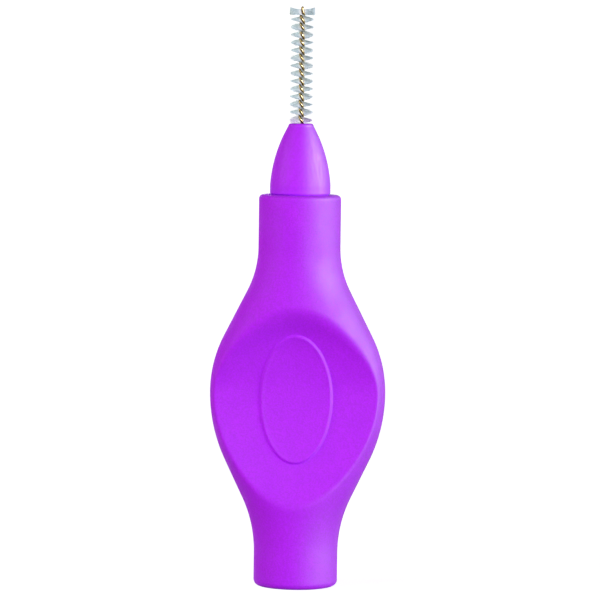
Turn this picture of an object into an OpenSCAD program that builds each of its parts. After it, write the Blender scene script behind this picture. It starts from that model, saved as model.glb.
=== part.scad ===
// Interdental brush: a soft moulded handle over a harder nose insert, and a
// twisted wire that pinches fans of nylon filaments.
// Z runs up along the wire from the centre of the foot. X is the width of the
// paddle and Y is its thickness. All lengths are in millimetres.

/* [Handle outline] */
// Width across the widest part of the paddle
paddle_w = 18.2; // [15:0.1:22]
// Radius of the outline's bulge above the widest part
upper_bulge_r = 12.9; // [10:0.1:16]
// Angle of the straight flank above the widest part, from the axis
upper_flank_angle = 26.8; // [22:0.1:32]
// Radius of the hollow where the flank runs into the collar
neck_hollow_r = 10.1; // [6:0.1:14]
// Radius of the outline's bulge below the widest part
lower_bulge_r = 16.2; // [12:0.1:20]
// Angle of the straight flank below the widest part, from the axis
lower_flank_angle = 25.5; // [22:0.1:32]
// Radius of the hollow where the flank runs into the tail
waist_hollow_r = 13.2; // [8:0.1:18]
// How far the paddle's ridge swells out in front of the collar and tail
ridge_swell = 0.8; // [0.2:0.05:1.4]

/* [Collar and tail] */
// Diameter of the round collar
collar_d = 8.5; // [8:0.1:10]
// Length of the straight collar
collar_len = 5.40; // [4:0.05:8]
// Radius of the collar's top edge
collar_edge_r = 0.45; // [0.2:0.05:0.8]
// Diameter of the round tail
tail_d = 8.7; // [8:0.1:10]
// Length of the straight tail
tail_len = 3.5; // [2:0.1:8]
// Radius of the foot's edge
foot_edge_r = 0.65; // [0.3:0.05:1]

/* [Thumb recess] */
// Width of the wall left between the rim and the paddle's side
rim_margin = 0.6; // [0.5:0.05:1.2]
// Height of the recess above the paddle's widest part
recess_up = 8.3; // [7:0.1:10]
// Height of the recess below the paddle's widest part
recess_down = 11.4; // [9:0.1:13]
// Thickness of the handle between the two recess floors
web_t = 3.9; // [2.4:0.1:5]
// Width of the oval medallion
medallion_w = 7.7; // [5:0.1:10]
// Height of the oval medallion
medallion_h = 13.5; // [9:0.1:15]
// How far the medallion's centre sits below the paddle's widest part
medallion_drop = 0.5; // [0:0.05:2]
// How far the medallion stands above the recess floor
medallion_rise = 0.25; // [0.1:0.05:0.5]

/* [Nose insert] */
// Length of the nose above the collar
nose_len = 7.35; // [6:0.05:10]
// Diameter of the straight land at the nose's root
land_d = 6.24; // [5.6:0.02:7]
// Height of the land's top above the collar
land_len = 1; // [0.6:0.05:2]
// Height of the narrow relief between the collar and the land
root_relief = 0.12; // [0.06:0.01:0.3]
// Radius of the nose's long side, seen in profile
ogive_r = 14.5; // [13:0.1:18]
// Diameter of the insert's seat inside the collar
seat_d = 5.9; // [5.5:0.02:6]
// Depth of the seat below the collar's top
seat_depth = 1.5; // [1:0.1:3]
// Diameter of the shank inside the handle
shank_d = 4.8; // [4:0.1:5.4]
// Length of the shank below the seat
shank_len = 10.2; // [8:0.1:11]
// Depth of the shank's keying grooves
groove_depth = 0.5; // [0.2:0.05:0.8]
// Length of each groove, and of each ring between two grooves
groove_len = 0.9; // [0.5:0.05:1]
// Radius of the shank's bottom edge
shank_edge_r = 0.5; // [0.2:0.05:0.9]
// Gap between the insert and the handle, all round
seat_clear = 0.02; // [0.01:0.005:0.04]

/* [Wire] */
// Diameter of the wire
wire_d = 0.25; // [0.18:0.01:0.3]
// Gap between the two legs, which the filaments fill
leg_gap = 0.08; // [0.06:0.01:0.12]
// Length of one whole turn of the twist
twist_pitch = 1.59; // [1.2:0.01:2.2]
// Height over which the twist fades out below the bend at the tip
fade_len = 0.7; // [0.4:0.05:0.9]
// Depth of the straight twisted stem below the nose's mouth
stem_depth = 10; // [8:0.1:11]
// Radius of the bent foot of the stem, at its centre line
crook_r = 0.8; // [0.6:0.05:1]
// Length of the straight end of the bent foot
crook_len = 0.7; // [0.3:0.05:0.9]
// Gap between the twisted wire and its channel in the insert
channel_clear = 0.03; // [0.02:0.005:0.05]

/* [Filaments] */
// Number of filament fans along the wire
fan_count = 15; // [8:1:18]
// Levels of filaments in one fan, with two strands to a level
fan_levels = 11; // [7:2:13]
// Width of the brush across its fans
brush_d = 2.38; // [1.8:0.02:4]
// Width across the fan at the tip
tip_fan_d = 2.63; // [1.8:0.01:4.2]
// Thickness of one filament
filament_t = 0.045; // [0.03:0.001:0.045]
// Gap between the filaments' pinched middles and the wire
pinch_clear = 0.006; // [0.004:0.001:0.01]
// Distance from the nose's mouth to the middle of the lowest fan
root_gap = 0.4; // [0.4:0.01:1]

/* [Hidden] */

grip_color = [0.73, 0.25, 0.98];
nose_color = [0.75, 0.28, 0.99];
wire_color = [0.78, 0.64, 0.36];
filament_color = [0.86, 0.9, 0.9];

function fan_name(i) = str("filament_fan_", i < 10 ? "0" : "", i);

// Outline of the paddle: half width at a height, made of two arcs and a flank
// on each side of the widest part.
paddle_r = paddle_w / 2;
collar_r = collar_d / 2;
tail_r = tail_d / 2;

function bulge_in(arc_r, angle) = arc_r * (1 - cos(angle));
function flank_run(arc_r, angle, hollow_r, end_r) =
    (paddle_r - bulge_in(arc_r, angle) - end_r - bulge_in(hollow_r, angle)) / tan(angle);
function side_len(arc_r, angle, hollow_r, end_r) =
    (arc_r + hollow_r) * sin(angle) + flank_run(arc_r, angle, hollow_r, end_r);
function side_width(d, arc_r, angle, hollow_r, end_r) =
    let (arc_end = arc_r * sin(angle),
         flank_end = arc_end + flank_run(arc_r, angle, hollow_r, end_r),
         end_d = flank_end + hollow_r * sin(angle))
    d < arc_end ? paddle_r - arc_r + sqrt(arc_r * arc_r - d * d)
    : d < flank_end ? paddle_r - bulge_in(arc_r, angle) - (d - arc_end) * tan(angle)
    : d < end_d ? end_r + hollow_r - sqrt(hollow_r * hollow_r - (end_d - d) * (end_d - d))
    : end_r;

widest_z = tail_len + side_len(lower_bulge_r, lower_flank_angle, waist_hollow_r, tail_r);
collar_z = widest_z + side_len(upper_bulge_r, upper_flank_angle, neck_hollow_r, collar_r);
handle_top = collar_z + collar_len;

function half_width(z) = z > widest_z
    ? side_width(z - widest_z, upper_bulge_r, upper_flank_angle, neck_hollow_r, collar_r)
    : side_width(widest_z - z, lower_bulge_r, lower_flank_angle, waist_hollow_r, tail_r);

// Each section is a superellipse, round at both ends and a little squarer
// through the paddle.
round_power = 2;
extra_power = 0.3;
swell_run_share = 0.3;
function paddle_share(z) = max(0, min(1, (z - tail_len) / (collar_z - tail_len)));
function eased(t) = t * t * (3 - 2 * t);
function swell_share(z) = eased(min(1, min(paddle_share(z), 1 - paddle_share(z)) / swell_run_share));
function half_depth(z) = tail_r + (collar_r - tail_r) * paddle_share(z) + ridge_swell * swell_share(z);
function section_power(z) = round_power + extra_power * swell_share(z);
function outer_depth(x, z) =
    let (power = section_power(z))
    half_depth(z) * pow(max(0, 1 - pow(min(1, abs(x) / half_width(z)), power)), 1 / power);

// The thumb recess is a bowl below an egg-shaped rim. Its depth is measured
// from the middle plane, and it meets the outside in a crest, which grows
// rounder towards the top.
rim_pinch = 0.35;
bowl_power = 2.2;
steeper_power = 1.2;
crest_share = 0.08;
brow_crest_share = 0.22;
brow_focus = 1.5;
function rim_reach(x, z) =
    let (half_h = z > widest_z ? recess_up : recess_down,
         across = pow(x / (paddle_r - rim_margin), 2),
         along = pow((z - widest_z) / half_h, 2))
    across + along == 0 ? 0
    : sqrt(across + along + rim_pinch * across * along / (across + along));
function bowl_depth(x, z) =
    let (reach = rim_reach(x, z),
         steeper = steeper_power * pow(max(0, z - widest_z) / recess_up, 2))
    reach == 0 ? web_t / 2
    : web_t / 2 + (outer_depth(x / reach, widest_z + (z - widest_z) / reach) - web_t / 2)
        * pow(reach, bowl_power + steeper);
function brow_share(x, z) =
    let (reach = rim_reach(x, z))
    reach == 0 ? 0 : pow(max(0, z - widest_z) / (recess_up * reach), brow_focus);
function soft_min(a, b, share) =
    let (blend = share * (a + b) / 2, near = max(0, blend - abs(a - b)))
    min(a, b) - (blend > 0 ? near * near / (4 * blend) : 0);
function front_depth(x, z) = soft_min(outer_depth(x, z), bowl_depth(x, z),
    crest_share + brow_crest_share * brow_share(x, z));

// The insert, from the collar's top
land_r = land_d / 2;
seat_r = seat_d / 2;
shank_r = shank_d / 2;
nose_top = handle_top + nose_len;
land_top = handle_top + land_len;
ogive_x = land_r - sqrt(ogive_r * ogive_r - land_len * land_len);
seat_bottom = handle_top - seat_depth;
shank_bottom = seat_bottom - shank_len;
grooved_share = 0.6;
groove_count = floor((shank_len * grooved_share - shank_edge_r) / (2 * groove_len));

// The wire: two legs on either side of the pinched filaments
leg_r = (wire_d + leg_gap) / 2;
twist_r = leg_r + wire_d / 2;
channel_r = twist_r + channel_clear;
mouth_bevel = 0.15;
fan_pitch = twist_pitch / 2;
tip_fan_z = nose_top + root_gap + (fan_count - 1) * fan_pitch;
tip_gap_share = 0.655;
wire_top = tip_fan_z + tip_gap_share * fan_pitch;
bight_z = wire_top - wire_d / 2 - leg_r;
fade_z = tip_fan_z - fan_pitch / 2;
stem_bottom = nose_top - stem_depth;
crook_turn = 90;
crook_arc = crook_r * PI * crook_turn / 180;
wire_bottom = stem_bottom - crook_arc - crook_len;

// Angle of the filaments at a place along the wire. The lay is left-handed,
// filaments point along X in the middle of a fan, and the twist fades out
// towards the bend at the tip.
half_turn = 180;
function filament_angle(s) =
    let (past = max(0, min(fade_len, s - fade_z)))
    -half_turn * (min(s, fade_z) - tip_fan_z + past - past * past / (2 * fade_len)) / fan_pitch;

// Overrun of one solid into another, and the roundness of curved faces
bury = 0.5;
round_steps = 96;
arc_steps = 360;

// The paddle as a loft of sections, closer together at the rim's two ends
section_points = 64;
section_step = 0.9;
rim_sections = 9;
rim_band = 1.6;
rim_top = widest_z + recess_up;
rim_bottom = widest_z - recess_down;
function zs_between(low, high) =
    let (count = max(2, ceil((high - low) / section_step)))
    [for (i = [1:count - 1]) low + (high - low) * i / count];
function band_zs(z) = [for (i = [0:rim_sections - 1])
    z - rim_band + 2 * rim_band * i / (rim_sections - 1)];
section_zs = concat(
    [tail_len - bury],
    zs_between(tail_len, rim_bottom - rim_band),
    band_zs(rim_bottom),
    zs_between(rim_bottom + rim_band, widest_z),
    [widest_z],
    zs_between(widest_z, rim_top - rim_band),
    band_zs(rim_top),
    zs_between(rim_top + rim_band, collar_z),
    [collar_z + bury]);

// Where the loft runs into the collar and the tail it is this much thinner
tuck = 0.06;
function section_at(z) =
    let (power = section_power(z),
         buried = z < tail_len || z > collar_z,
         size = buried ? 1 - tuck / collar_r : 1)
    [for (i = [0:section_points - 1])
        let (turn = 360 * i / section_points,
             x = half_width(z) * sign(cos(turn)) * pow(abs(cos(turn)), 2 / power),
             y = sign(sin(turn)) * front_depth(x, z))
        [x * size, y * size, z]];

function ring_joins(count, sides) = [for (k = [0:count - 2]) for (i = [0:sides - 1])
    let (a = k * sides + i, b = k * sides + (i + 1) % sides)
    each [[a, a + sides, b + sides], [a, b + sides, b]]];
function fan_cap(first, sides, up) = [for (i = [1:sides - 2])
    up ? [first, first + i + 1, first + i] : [first, first + i, first + i + 1]];

module paddle_loft() {
    rings = [for (z = section_zs) each section_at(z)];
    last = (len(section_zs) - 1) * section_points;
    polyhedron(rings, concat(
        ring_joins(len(section_zs), section_points),
        fan_cap(0, section_points, false),
        fan_cap(last, section_points, true)));
}

// Medallion: an oval pad whose face follows the recess floor
medallion_spokes = 40;
medallion_shares = [1.02, 0.99, 0.95, 0.65, 0.33];
edge_lift_share = 0.8;
medallion_lifts = [-bury, edge_lift_share * medallion_rise,
    medallion_rise, medallion_rise, medallion_rise];
medallion_z = widest_z - medallion_drop;
function medallion_point(size, turn, lift) =
    let (x = size * medallion_w / 2 * cos(turn), z = medallion_z + size * medallion_h / 2 * sin(turn))
    [x, -(bowl_depth(x, z) + lift), z];

module medallion() {
    rings = [for (k = [0:len(medallion_shares) - 1]) for (i = [0:medallion_spokes - 1])
        medallion_point(medallion_shares[k], 360 * (i + 0.5) / medallion_spokes, medallion_lifts[k])];
    points = concat(rings, [medallion_point(0, 0, medallion_rise)]);
    last = (len(medallion_shares) - 1) * medallion_spokes;
    tip = len(rings);
    polyhedron(points, concat(
        ring_joins(len(medallion_shares), medallion_spokes),
        fan_cap(0, medallion_spokes, false),
        [for (i = [0:medallion_spokes - 1])
            [last + i, tip, last + (i + 1) % medallion_spokes]]));
}

// Half profile of a round end with one rounded edge, from low to high
module edged_profile(r, low, high, edge_r, edge_z, edge_side) {
    difference() {
        translate([0, low]) square([r, high - low]);
        difference() {
            translate([r - edge_r, edge_side > 0 ? edge_z - edge_r : edge_z - bury])
                square([edge_r + bury, edge_r + bury]);
            translate([r - edge_r, edge_z - edge_side * edge_r]) circle(edge_r, $fn = round_steps);
        }
    }
}

// The seams of the round ends are turned away from the corners of the loft
seam_turn = 180 / section_points;
module collar() {
    rotate([0, 0, seam_turn]) rotate_extrude($fn = round_steps)
        edged_profile(collar_r, collar_z, handle_top, collar_edge_r, handle_top, 1);
}

module tail() {
    rotate([0, 0, seam_turn]) rotate_extrude($fn = round_steps)
        edged_profile(tail_r, 0, tail_len, foot_edge_r, 0, -1);
}

// Profile of the insert's buried part. The spare is added all round, so the
// same profile makes the cavity in the handle.
module shank_profile(spare) {
    difference() {
        union() {
            translate([0, seat_bottom - spare]) square([seat_r + spare, seat_depth + spare]);
            edged_profile(shank_r + spare, shank_bottom - spare, seat_bottom,
                shank_edge_r, shank_bottom - spare, -1);
        }
        for (i = [0:groove_count - 1])
            translate([shank_r - groove_depth + spare,
                       shank_bottom + shank_edge_r + (2 * i + 1) * groove_len + spare])
                square([groove_depth + bury, groove_len - 2 * spare]);
    }
}

module grip_handle() {
    color(grip_color)
    difference() {
        union() {
            paddle_loft();
            collar();
            tail();
            medallion();
            mirror([0, 1, 0]) medallion();
        }
        rotate_extrude($fn = round_steps) {
            shank_profile(seat_clear);
            translate([0, handle_top - bury]) square([seat_r + seat_clear, 2 * bury]);
        }
    }
}

// Channel that the wire lies in: straight down from the mouth, round the
// crook and out through the side of the shank
module wire_channel() {
    translate([0, 0, stem_bottom])
        cylinder(nose_top - stem_bottom + bury, channel_r, channel_r, $fn = round_steps);
    translate([0, 0, nose_top - mouth_bevel])
        cylinder(2 * mouth_bevel, channel_r, channel_r + 2 * mouth_bevel, $fn = round_steps);
    translate([crook_r, 0, stem_bottom]) rotate([90, 0, 0])
        rotate_extrude(angle = crook_turn, start = 180, $fn = round_steps)
            translate([crook_r, 0]) circle(channel_r, $fn = round_steps);
    translate([crook_r, 0, stem_bottom - crook_r]) rotate([0, 90, 0])
        cylinder(shank_r, channel_r, channel_r, $fn = round_steps);
}

module nose_cone() {
    color(nose_color)
    difference() {
        rotate_extrude($fn = round_steps) {
            shank_profile(0);
            translate([0, handle_top]) square([seat_r, root_relief]);
            translate([0, handle_top + root_relief]) square([land_r, land_len - root_relief]);
            intersection() {
                translate([0, land_top]) square([land_r, nose_top - land_top]);
                translate([ogive_x, handle_top]) circle(ogive_r, $fn = arc_steps);
            }
        }
        wire_channel();
    }
}

// Centre line of the twisted stem: straight, then round the crook towards X.
// s is the height on the straight part and the length along it below that.
function crook_angle(s) = max(0, min(crook_turn, (stem_bottom - s) / crook_r * 180 / PI));
function stem_point(s) =
    let (turn = crook_angle(s), past = max(0, stem_bottom - crook_arc - s))
    [crook_r * (1 - cos(turn)) + past * sin(turn), 0,
     max(s, stem_bottom) - crook_r * sin(turn) - past * cos(turn)];
function stem_side(s) = [cos(crook_angle(s)), 0, sin(crook_angle(s))];
function leg_out(s, leg) =
    let (turn = filament_angle(s) + leg)
    cos(turn) * stem_side(s) + sin(turn) * [0, 1, 0];
function leg_point(s, leg) = stem_point(s) + leg_r * leg_out(s, leg);

// Angles of the two legs from the filaments, and the steps of their sweep
front_leg = 90;
back_leg = 270;
turn_steps = 10;
wire_sides = 6;
bight_steps = 6;
stem_steps = ceil((bight_z - wire_bottom) / (twist_pitch / turn_steps));
probe_share = 0.005;
probe = probe_share * twist_pitch;
function stem_s(i) = wire_bottom + (bight_z - wire_bottom) * i / stem_steps;
function unit(v) = v / norm(v);
function wire_ring(centre, along, out) =
    let (side = unit(cross(along, out)), up = cross(side, along))
    [for (i = [0:wire_sides - 1])
        let (turn = 360 * i / wire_sides)
        centre + wire_d / 2 * (cos(turn) * up + sin(turn) * side)];
function leg_ring(i, leg, way) =
    let (s = stem_s(i))
    wire_ring(leg_point(s, leg), way * unit(leg_point(s + probe, leg) - leg_point(s - probe, leg)),
        leg_out(s, leg));
function bight_ring(i) =
    let (turn = 180 * i / bight_steps, out = leg_out(bight_z, front_leg), up = [0, 0, 1],
         away = cos(turn) * out + sin(turn) * up)
    wire_ring([0, 0, bight_z] + leg_r * away, cos(turn) * up - sin(turn) * out, away);

module twisted_wire() {
    rings = concat(
        [for (i = [0:stem_steps - 1]) each leg_ring(i, front_leg, 1)],
        [for (i = [0:bight_steps]) each bight_ring(i)],
        [for (i = [stem_steps - 1:-1:0]) each leg_ring(i, back_leg, -1)]);
    count = len(rings) / wire_sides;
    color(wire_color)
    polyhedron(rings, concat(
        ring_joins(count, wire_sides),
        fan_cap(0, wire_sides, false),
        fan_cap(len(rings) - wire_sides, wire_sides, true)));
}

// One fan: levels of filaments stacked along the wire. The pinched middles
// form a thin strip that turns with the twist, and every level sends one
// strand out of each of its two edges.
strip_t = 2 * (leg_r * cos(180 / turn_steps) - wire_d / 2 - pinch_clear);
strip_w = twist_r;
level_gap = fan_pitch / fan_levels;
top_spare_share = 0.5;
tip_level_gap = (bight_z - fade_z - filament_t) / (fan_levels + top_spare_share);
tip_lift = 0.15;
function is_tip(i) = i == 1;
function fan_z(i) = tip_fan_z - (i - 1) * fan_pitch;
function level_z(i, k) = is_tip(i)
    ? fade_z + (k + 1) * tip_level_gap
    : fan_z(i) + (k - (fan_levels - 1) / 2) * level_gap;
function level_lift(i, k) = is_tip(i) ? tip_lift * pow(k / (fan_levels - 1), 2) : 0;
function strand_r(i) = (is_tip(i) ? tip_fan_d : brush_d) / 2;
function spun(u, v, z, turn) = [u * cos(turn) - v * sin(turn), u * sin(turn) + v * cos(turn), z];

// Corners of one level: eight on the strip, then eight at the strands' ends
function level_points(i, k) =
    let (z = level_z(i, k), turn = filament_angle(z), lift = level_lift(i, k),
         u = strip_w / 2, v = strip_t / 2, w = filament_t / 2, r = strand_r(i))
    concat(
        [for (h = [-w, w]) each [spun(u, -v, z + h, turn), spun(u, v, z + h, turn),
                                 spun(-u, v, z + h, turn), spun(-u, -v, z + h, turn)]],
        [for (side = [1, -1]) for (h = [-w, w]) each [
            spun(side * r, -side * w, z + lift + h, turn),
            spun(side * r, side * w, z + lift + h, turn)]]);

// A quad as two triangles, with its corners seen clockwise from outside
function quad(a, b, c, d) = [[a, b, c], [a, c, d]];
function strand_faces(a, b, c, d, e, f, g, h) = concat(
    quad(a, b, f, e), quad(c, h, f, b), quad(d, g, h, c), quad(a, e, g, d), quad(e, f, h, g));
function level_faces(n) = concat(
    quad(n + 1, n + 2, n + 6, n + 5), quad(n + 3, n, n + 4, n + 7),
    strand_faces(n, n + 1, n + 5, n + 4, n + 8, n + 9, n + 10, n + 11),
    strand_faces(n + 2, n + 3, n + 7, n + 6, n + 12, n + 13, n + 14, n + 15));
function between_faces(n, m) = [for (j = [0:3])
    let (j2 = (j + 1) % 4) each quad(n + 4 + j, n + 4 + j2, m + j2, m + j)];

level_corners = 16;
module filament_fan(i) {
    last = (fan_levels - 1) * level_corners;
    color(filament_color)
    polyhedron(
        [for (k = [0:fan_levels - 1]) each level_points(i, k)],
        concat(
            [for (k = [0:fan_levels - 1]) each level_faces(k * level_corners)],
            [for (k = [0:fan_levels - 2])
                each between_faces(k * level_corners, (k + 1) * level_corners)],
            quad(0, 3, 2, 1),
            quad(last + 4, last + 5, last + 6, last + 7)));
}

grip_handle();
nose_cone();
twisted_wire();
for (i = [1:fan_count]) filament_fan(i);
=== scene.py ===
"""Interdental brush: soft waisted handle, hard nose, twisted wire and nylon fans."""
import math

import bmesh
import bpy
import numpy as np
from bpy.props import FloatProperty, FloatVectorProperty, IntProperty, PointerProperty
from mathutils import Matrix, Vector


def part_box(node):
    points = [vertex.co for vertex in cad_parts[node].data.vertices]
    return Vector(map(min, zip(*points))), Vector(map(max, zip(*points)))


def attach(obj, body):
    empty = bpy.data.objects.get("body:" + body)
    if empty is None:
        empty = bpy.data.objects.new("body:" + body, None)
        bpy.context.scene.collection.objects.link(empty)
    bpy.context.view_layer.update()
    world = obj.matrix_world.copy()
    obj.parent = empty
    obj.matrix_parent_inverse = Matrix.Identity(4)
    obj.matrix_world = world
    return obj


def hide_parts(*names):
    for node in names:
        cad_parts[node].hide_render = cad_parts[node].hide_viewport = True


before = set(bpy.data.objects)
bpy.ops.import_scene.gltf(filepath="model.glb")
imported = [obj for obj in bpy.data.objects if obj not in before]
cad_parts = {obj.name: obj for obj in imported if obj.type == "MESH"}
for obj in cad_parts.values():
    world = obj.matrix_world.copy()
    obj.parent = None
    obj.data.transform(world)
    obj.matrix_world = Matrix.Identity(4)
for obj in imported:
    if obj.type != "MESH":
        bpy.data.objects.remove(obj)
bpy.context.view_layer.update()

bl_info = {
    "name": "Interdental Brush",
    "version": (1, 0, 0),
    "blender": (4, 5, 0),
    "location": "View3D > Sidebar > Brush",
    "description": "Builds the looks of an interdental brush around its packed solids",
    "category": "Add Mesh",
}

MM = 0.001
TINY = 1e-6
BODY = "root"


def node_low(node, axis):
    """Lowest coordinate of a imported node, in millimetres."""
    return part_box(node)[0][axis] / MM


def node_high(node, axis):
    """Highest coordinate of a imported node, in millimetres."""
    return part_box(node)[1][axis] / MM


FAN_NODES = sorted(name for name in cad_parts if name.startswith("filament_fan"))
HANDLE_TOP = node_high("grip_handle", 2)
HANDLE_BACK = node_high("grip_handle", 1)
NOSE_TOP = node_high("nose_cone", 2)
NOSE_BOTTOM = node_low("nose_cone", 2)
WIRE_TOP = node_high("twisted_wire", 2)
PADDLE_W = 2 * node_high("grip_handle", 0)
LAND_D = 2 * node_high("nose_cone", 0)


# Properties

def length(name, description, millimetres):
    """A length property with its default given in millimetres."""
    return FloatProperty(name=name, description=description, default=millimetres * MM,
                         unit='LENGTH', subtype='DISTANCE', precision=6)


def angle(name, description, degrees):
    """An angle property with its default given in degrees."""
    return FloatProperty(name=name, description=description, default=math.radians(degrees),
                         unit='ROTATION', subtype='ANGLE')


def colour(name, description, value):
    """A linear colour property."""
    return FloatVectorProperty(name=name, description=description, default=value,
                               subtype='COLOR', size=3, min=0.0, max=1.0)


class HandleSettings(bpy.types.PropertyGroup):
    paddle_w: length("Paddle width", "Width across the widest part", PADDLE_W)
    upper_bulge_r: length("Upper bulge", "Outline radius above the widest part", 12.9)
    upper_flank: angle("Upper flank", "Angle of the straight flank above", 26.8)
    neck_hollow_r: length("Neck hollow", "Outline radius into the collar", 10.1)
    lower_bulge_r: length("Lower bulge", "Outline radius below the widest part", 16.2)
    lower_flank: angle("Lower flank", "Angle of the straight flank below", 25.5)
    waist_hollow_r: length("Waist hollow", "Outline radius into the tail", 13.2)
    ridge_swell: length("Ridge swell", "How far the paddle swells in front of its ends", 0.8)
    collar_d: length("Collar diameter", "Diameter of the round collar", 8.5)
    collar_edge_r: length("Collar edge", "Radius of the collar's top edge", 0.45)
    tail_d: length("Tail diameter", "Diameter of the round tail", 8.7)
    tail_len: length("Tail length", "Length of the straight tail", 3.5)
    foot_edge_r: length("Foot edge", "Radius of the foot's edge", 0.65)
    rim_margin: length("Rim margin", "Wall between the recess rim and the side", 0.6)
    recess_up: length("Recess above", "Recess height above the widest part", 8.3)
    recess_down: length("Recess below", "Recess height below the widest part", 11.4)
    web_t: length("Web", "Thickness between the two recess floors", 3.9)
    medallion_w: length("Medallion width", "Width of the oval medallion", 7.7)
    medallion_h: length("Medallion height", "Height of the oval medallion", 13.5)
    medallion_drop: length("Medallion drop", "Medallion centre below the widest part", 0.5)
    medallion_rise: length("Medallion rise", "Height of the medallion's face", 0.25)
    medallion_step: length("Medallion step", "Width of the medallion's sloping edge", 0.3)
    medallion_lip: length("Medallion lip", "Height of the fine lip round the medallion", 0.025)
    elastomer: colour("Elastomer", "Colour of the soft handle", (0.48, 0.008, 0.94))


class NoseSettings(bpy.types.PropertyGroup):
    land_d: length("Land diameter", "Diameter of the nose's straight root", LAND_D)
    land_len: length("Land top", "Height of the straight land's top above the collar", 1.0)
    root_relief: length("Root relief", "Height of the narrow relief under the land", 0.12)
    ogive_r: length("Side radius", "Radius of the nose's long side", 14.5)
    seat_d: length("Seat diameter", "Diameter of the seat inside the collar", 5.9)
    seat_depth: length("Seat depth", "Depth of the seat inside the collar", 1.5)
    shank_d: length("Shank diameter", "Diameter of the buried shank", 4.8)
    mouth_edge_r: length("Mouth edge", "Radius of the edge round the mouth", 0.28)
    plastic: colour("Plastic", "Colour of the hard nose", (0.475, 0.01, 0.94))


class WireSettings(bpy.types.PropertyGroup):
    wire_d: length("Wire diameter", "Diameter of the wire", 0.25)
    leg_gap: length("Leg gap", "Gap between the legs that the filaments fill", 0.08)
    pitch: length("Twist pitch", "Length of one whole turn", 1.59)
    fade_len: length("Twist fade", "Height over which the twist fades out at the tip", 0.7)
    stem_depth: length("Stem depth", "Depth of the straight stem below the mouth", 10.0)
    crook_r: length("Crook radius", "Radius of the bent foot", 0.8)
    crook_len: length("Crook length", "Length of the bent foot's straight end", 0.7)
    gold: colour("Gold", "Colour of the bright wire", (0.42, 0.345, 0.165))
    # Painted shade: the colour of the wire where shade and dark reflections are painted on, between the
    # legs and on its underside.
    painted_shade: colour("Painted_shade", "Colour of the wire in its crevices", (0.13, 0.07, 0.018))


class FilamentSettings(bpy.types.PropertyGroup):
    levels: IntProperty(name="Levels", description="Filaments in one fan", default=42, min=3)
    brush_d: length("Brush width", "Width across the fans", 2.38)
    tip_fan_d: length("Tip fan width", "Width across the fan at the tip", 2.63)
    filament_d: length("Filament diameter", "Diameter of one filament", 0.046)
    seed: IntProperty(name="Seed", description="Seed of the small irregularities", default=7)
    nylon: colour("Nylon", "Colour of the clear filaments", (0.7, 0.82, 0.86))
    # Painted reflection: the nose's purple, painted on the filaments near its mouth.
    painted_nose_glow: colour("Painted_nose_glow", "Colour that the filaments catch from the nose", (0.85, 0.6, 0.92))


class StageSettings(bpy.types.PropertyGroup):
    eye_distance: length("Eye distance", "Distance of the camera from the axis", 415.0)
    eye_height: length("Eye height", "Height of the camera", 58.7)
    eye_yaw: angle("Eye yaw", "Turn of the camera towards the object's right", 4.5)
    eye_roll: angle("Eye roll", "Roll of the camera", 0.747)
    aim_x: length("Aim across", "Point across the object that the camera looks at", 0.126)
    aim_height: length("Aim height", "Height that the camera looks at", 29.694)
    view_height: length("View height", "Height of the view at the object's axis", 61.905)


# Shape of the handle, in millimetres

def smooth_step(t):
    return t * t * (3 - 2 * t)


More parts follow.
